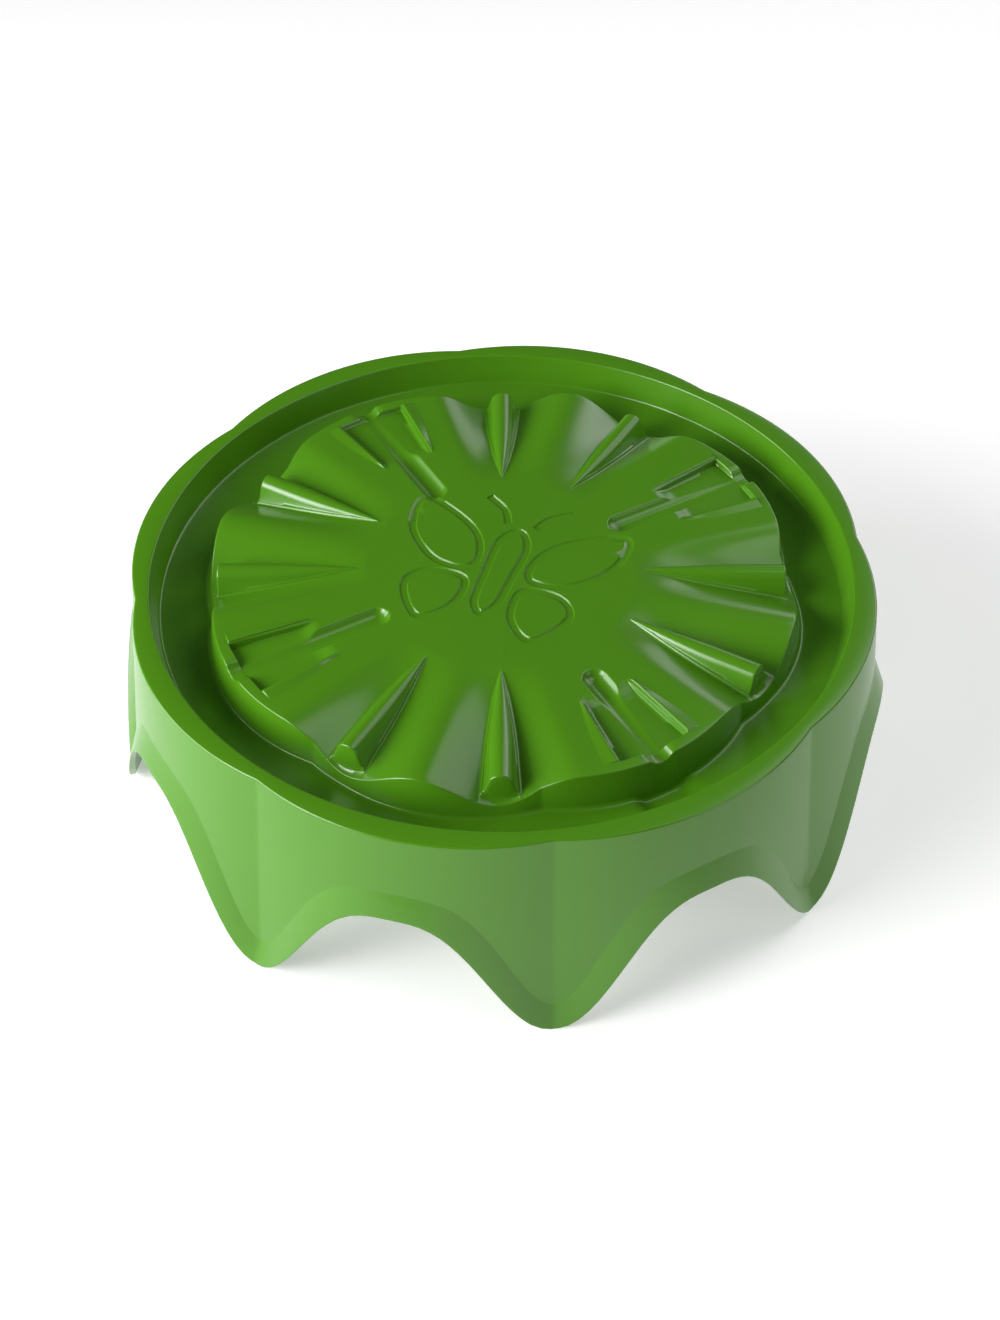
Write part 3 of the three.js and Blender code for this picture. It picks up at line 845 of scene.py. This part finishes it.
def dispenser_height(share):
    return DISPENSER_BOTTOM + DISPENSER_LENGTH * share


def butyl_rubber():
    """Matt rubber: a 0.35 mm mould grain and a pale bloom in patches of about 5 mm."""
    material = new_material("red_brown_butyl_rubber_moulded")
    place = node(material, "ShaderNodeTexCoord")
    patches = node(material, "ShaderNodeTexNoise", {"Scale": 1 / (5 * MM), "Detail": 4.0},
                   [("Vector", place, "Object")])
    tone = node(material, "ShaderNodeMix", {"data_type": "RGBA"}, [("Factor", patches, "Fac")])
    tone.inputs["A"].default_value = linear("#84352a")
    tone.inputs["B"].default_value = linear("#9a4a39")
    grain = node(material, "ShaderNodeTexNoise", {"Scale": 1 / (0.35 * MM), "Detail": 3.0},
                 [("Vector", place, "Object")])
    bump = node(material, "ShaderNodeBump", {"Strength": 1.0, "Distance": 0.02 * MM},
                [("Height", grain, "Fac")])
    shader = surface(material)
    shader.inputs["Roughness"].default_value = 0.72
    shader.inputs["IOR"].default_value = 1.52
    material.node_tree.links.new(tone.outputs["Result"], shader.inputs["Base Color"])
    material.node_tree.links.new(bump.outputs["Normal"], shader.inputs["Normal"])
    return material


dispenser_piece = lathe("pheromone_dispenser_stopper", [
    (0, dispenser_height(0), 0), (PLUG_RADII[0], dispenser_height(0), 0.6),
    (PLUG_RADII[1], dispenser_height(PLUG_END), 0.4),
    (SLEEVE_RADIUS, dispenser_height(SLEEVE_START), 0.6),
    (SLEEVE_RADIUS, dispenser_height(1), 0.9), (BORE_RADIUS, dispenser_height(1), 0.5),
    (BORE_RADIUS, dispenser_height(BORE_END), 0.7), (0, dispenser_height(BORE_END), 0)], segments=72)
finish_piece(dispenser_piece, butyl_rubber(), "lure_cap", "dispenser_rubber", "pheromone_dispenser")


# ---- Catch dish -------------------------------------------------------------------------------
# A shallow bowl of natural white polypropylene under the hood, with four ears for the pins.
# It is injection moulded, 1.3 mm thick, with a rounded lip and a stacking step under the floor.
DISH_BOTTOM = 1.0
DISH_TOP = 13.0
DISH_FLOOR = 40.0
DISH_RIM = 43.0
DISH_WALL = 1.3
DISH_STEP = (30.0, 0.4)        # radius and depth of the step moulded under the floor
EAR_RADIUS = 5.4
EAR_HEIGHTS = (8.0, 11.0)
EAR_ROOT = (41.4, 4.2)         # distance from the axis and half width where an ear leaves the bowl
EAR_HOLE = 3.3
EAR_CHAMFER = 0.5              # round the top of an ear's hole

dish_piece = lathe("catch_dish_moulding", [
    (0, DISH_BOTTOM + DISH_STEP[1], 0), (DISH_STEP[0], DISH_BOTTOM + DISH_STEP[1], 0.3),
    (DISH_STEP[0] + 0.6, DISH_BOTTOM, 0.3), (DISH_FLOOR, DISH_BOTTOM, 1.2), (DISH_RIM, DISH_TOP, 0.5),
    (DISH_RIM - DISH_WALL, DISH_TOP, 0.45), (DISH_FLOOR - DISH_WALL, DISH_BOTTOM + DISH_WALL, 0.8),
    (0, DISH_BOTTOM + DISH_WALL, 0)], segments=180)
for sector in CLIP_SECTORS:
    aim = Matrix.Rotation(math.radians(SECTOR * sector), 4, "Z")
    tip = SOCKET_CIRCLE + EAR_RADIUS
    ear = prism("ear", [
        (EAR_ROOT[0], -EAR_ROOT[1], 0), (tip, -EAR_RADIUS, EAR_RADIUS),
        (tip, EAR_RADIUS, EAR_RADIUS), (EAR_ROOT[0], EAR_ROOT[1], 0)], *EAR_HEIGHTS, turn=aim, edge=0.35)
    combine(dish_piece, ear, "UNION")
    below = EAR_HEIGHTS[0] - 1
    above = EAR_HEIGHTS[1] + 0.1
    hole = lathe("ear_hole", [
        (0, below, 0), (EAR_HOLE, below, 0), (EAR_HOLE, above - EAR_CHAMFER, 0),
        (EAR_HOLE + EAR_CHAMFER, above, 0), (0, above, 0)], centre=pin_place(sector), segments=48)
    combine(dish_piece, hole, "DIFFERENCE")
finish_piece(dish_piece, WHITE, "dish", "dish_plastic", "catch_dish")


# ---- Sticky liner -----------------------------------------------------------------------------
# A die-cut disc of coated cream card that lies loose in the dish. All but its edge carries a film
# of clear pressure-sensitive glue, spread by a roller, which the insects stick to.
LINER_RADIUS = 38.0
LINER_BOTTOM = 2.6
LINER_TOP = 3.4
GLUE_RADIUS = 36.6
GLUE_DEPTH = 0.15
GLUE_EDGE = 0.3                # width of the film's sloping edge


def coated_card():
    """Matt card whose thin clay coating lets its 0.8 mm fibre clumps just show."""
    material = new_material("cream_coated_card")
    place = node(material, "ShaderNodeTexCoord")
    fibres = node(material, "ShaderNodeTexNoise", {"Scale": 1 / (0.8 * MM), "Detail": 5.0},
                  [("Vector", place, "Object")])
    tone = node(material, "ShaderNodeMix", {"data_type": "RGBA"}, [("Factor", fibres, "Fac")])
    tone.inputs["A"].default_value = linear("#e9dfbb")
    tone.inputs["B"].default_value = linear("#f3ebcf")
    bump = node(material, "ShaderNodeBump", {"Strength": 1.0, "Distance": 0.01 * MM},
                [("Height", fibres, "Fac")])
    surface(material).inputs["Roughness"].default_value = 0.55
    material.node_tree.links.new(tone.outputs["Result"], surface(material).inputs["Base Color"])
    material.node_tree.links.new(bump.outputs["Normal"], surface(material).inputs["Normal"])
    return material


def glue_film():
    """The card seen through tacky glue: wet gloss over shallow roller waves 4 mm apart."""
    material = new_material("tacky_glue_film_on_card")
    place = node(material, "ShaderNodeTexCoord")
    waves = node(material, "ShaderNodeTexNoise", {"Scale": 1 / (4 * MM), "Detail": 2.0},
                 [("Vector", place, "Object")])
    tone = node(material, "ShaderNodeMix", {"data_type": "RGBA"}, [("Factor", waves, "Fac")])
    tone.inputs["A"].default_value = linear("#e2d29a")
    tone.inputs["B"].default_value = linear("#ebdfb0")
    bump = node(material, "ShaderNodeBump", {"Strength": 1.0, "Distance": 0.06 * MM},
                [("Height", waves, "Fac")])
    surface(material).inputs["Roughness"].default_value = 0.12
    surface(material).inputs["IOR"].default_value = 1.48
    material.node_tree.links.new(tone.outputs["Result"], surface(material).inputs["Base Color"])
    material.node_tree.links.new(bump.outputs["Normal"], surface(material).inputs["Normal"])
    return material


liner_piece = lathe("sticky_liner_card", [
    (0, LINER_BOTTOM, 0), (LINER_RADIUS, LINER_BOTTOM, 0.1),
    (LINER_RADIUS, LINER_TOP - GLUE_DEPTH, 0.1), (GLUE_RADIUS + GLUE_EDGE, LINER_TOP - GLUE_DEPTH, 0),
    (GLUE_RADIUS, LINER_TOP, 0.1), (0, LINER_TOP, 0)], segments=144)
finish_piece(liner_piece, coated_card(), "liner", "liner_card", "sticky_liner")
liner_piece.data.materials.append(glue_film())
for face in liner_piece.data.polygons:
    if face.center.z > (LINER_TOP - GLUE_DEPTH / 2) * MM:
        face.material_index = 1


# ---- Hanger pins ------------------------------------------------------------------------------
# Four headed pins of the hood's green polypropylene. Each comes up through an ear of the dish and
# presses into a socket under the hub, so that the dish hangs below the hood.
PIN_HEAD = 4.6
PIN_HEIGHTS = (5.2, 7.7, 44.5, 46.0)   # underside, top of the head, start of the taper, tip
PIN_RADIUS = 3.0
PIN_TIP = 2.0
PIN_DIMPLE = (1.7, 0.35)               # radius and depth of the gate dimple in the head

under, head_top, taper, tip = PIN_HEIGHTS
for number, sector in enumerate(CLIP_SECTORS, start=1):
    pin_piece = lathe(f"hanger_pin_{number}_moulding", [
        (0, under + PIN_DIMPLE[1], 0), (PIN_DIMPLE[0] - 0.4, under + PIN_DIMPLE[1], 0.2),
        (PIN_DIMPLE[0], under, 0.2), (PIN_HEAD, under, 0.9), (PIN_HEAD, head_top, 0.5),
        (PIN_RADIUS, head_top, 0.2), (PIN_RADIUS, taper, 0.6), (PIN_TIP, tip, 0.5), (0, tip, 0)],
        centre=pin_place(sector), segments=48)
    finish_piece(pin_piece, GREEN, "dish", "pin_plastic", f"hanger_pin_{number}")


# ---- Camera: from the front, 44 degrees down on the rim ----------------------------------------
camera_data = bpy.data.cameras.new("camera")
camera_data.lens = 60.89
camera = bpy.data.objects.new("camera", camera_data)
camera.location = Vector((0.68, -379.1, 395.6)) * MM
camera.rotation_euler = (math.radians(90 - 44.37), 0, 0.0026)
bpy.context.scene.collection.objects.link(camera)
bpy.context.scene.camera = camera


# ---- Studio: white paper with a painted glow round the trap that lightens its shadows, under six soft boxes ---
def soft_box(name, place, size, power, aim=(0, 0, 0.03)):
    light = bpy.data.lights.new(name, "AREA")
    light.shape = "RECTANGLE"
    light.size, light.size_y = size
    light.energy = power
    lamp = bpy.data.objects.new(name, light)
    lamp.location = place
    lamp.rotation_euler = (Vector(aim) - Vector(place)).to_track_quat("-Z", "Y").to_euler()
    bpy.context.scene.collection.objects.link(lamp)
    return lamp


FLOOR_SIZE = 12.0
floor_mesh = bpy.data.meshes.new("floor")
half = FLOOR_SIZE / 2
floor_mesh.from_pydata([(-half, -half, 0), (half, -half, 0), (half, half, 0), (-half, half, 0)],
                       [], [(0, 1, 2, 3)])
floor = bpy.data.objects.new("floor", floor_mesh)
bpy.context.scene.collection.objects.link(floor)


def studio_paper():
    """Matt white paper with a painted glow that lightens the trap's shadows on it; the glow fades out
    between 150 and 800 mm from the trap's middle.
    """
    material = new_material("white_paper_with_painted_glow")
    place = node(material, "ShaderNodeTexCoord")
    distance = node(material, "ShaderNodeVectorMath", {"operation": "LENGTH"},
                    [("Vector", place, "Object")])
    # painted glow: emission on the floor that lightens the trap's cast shadows round it
    glow = node(material, "ShaderNodeMapRange",
                {"From Min": 0.15, "From Max": 0.8, "To Min": 0.4, "To Max": 0.0, "clamp": True},
                [("Value", distance, "Value")])
    shader = surface(material)
    shader.inputs["Base Color"].default_value = linear("#e8e8e8")
    shader.inputs["Roughness"].default_value = 0.9
    shader.inputs["Specular IOR Level"].default_value = 0.1
    shader.inputs["Emission Color"].default_value = (1, 1, 1, 1)
    material.node_tree.links.new(glow.outputs["Result"], shader.inputs["Emission Strength"])
    return material


floor_mesh.materials.append(studio_paper())

LIGHT_DISTANCE = 0.9


def lit(direction, irradiance):
    """Where a soft box hangs, and its power for this share of a white surface's full brightness."""
    place = Vector(direction).normalized() * LIGHT_DISTANCE
    return place, irradiance * (math.pi * LIGHT_DISTANCE) ** 2


for name, direction, size, irradiance in (
        ("key_soft_box", (-0.93, -0.19, 0.40), (0.8, 0.5), 1.26),
        ("accent_soft_box", (-0.72, -0.49, 0.50), (0.38, 0.55), 0.64),
        ("top_soft_box", (0.40, 0.02, 0.90), (0.30, 0.40), 0.09),
        ("back_panel_box", (0.58, 0.45, 0.68), (0.6, 0.6), 0.26),
        ("back_strip_box", (0.55, 0.73, 0.41), (0.75, 0.28), 0.15),
        ("fill_soft_box", (0.85, -0.45, 0.35), (0.5, 0.5), 0.18)):
    place, power = lit(direction, irradiance)
    soft_box(name, place, size, power)
world = bpy.data.worlds.new("studio")
world.use_nodes = True
world.node_tree.nodes["Background"].inputs["Color"].default_value = (1, 1, 1, 1)
world.node_tree.nodes["Background"].inputs["Strength"].default_value = 0.04
bpy.context.scene.world = world
bpy.context.scene.view_settings.view_transform = "Standard"
